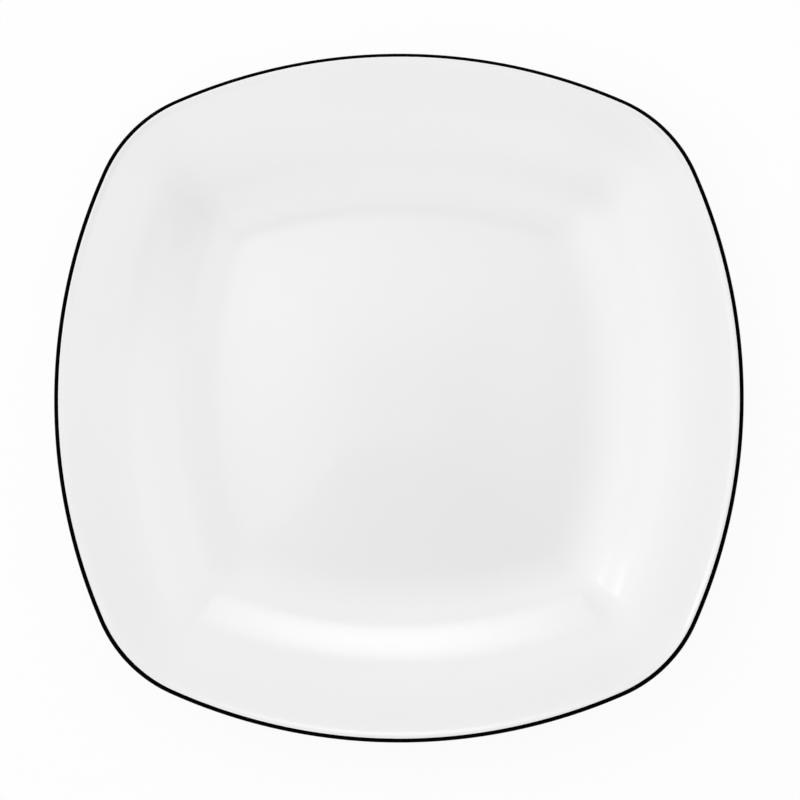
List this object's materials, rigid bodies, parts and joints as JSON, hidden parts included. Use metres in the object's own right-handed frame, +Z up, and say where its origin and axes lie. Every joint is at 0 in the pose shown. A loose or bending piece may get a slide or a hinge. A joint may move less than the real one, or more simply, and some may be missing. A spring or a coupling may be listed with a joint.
{
  "type": "dessert plate",
  "caption": "Rounded-square dessert plate of white glazed porcelain with a sloping rim, a soft square well, a foot ring and a thin black line round its edge.",
  "frame": {"origin": "middle of the face that the plate stands on", "axes": "+Z up, out of the well; +X and +Y each square to one of the sides"},
  "size_m": [0.21, 0.21, 0.0213],
  "materials": {
    "bare_porcelain": "unglazed, fine and matt",
    "white_glaze": "glossy",
    "black_line": "glossy"
  },
  "bodies": {
    "root": {"porcelain_body": "bare_porcelain", "top_glaze": "white_glaze", "rim_line": "black_line", "under_glaze": "white_glaze", "base_glaze": "white_glaze"}
  },
  "joints": []
}
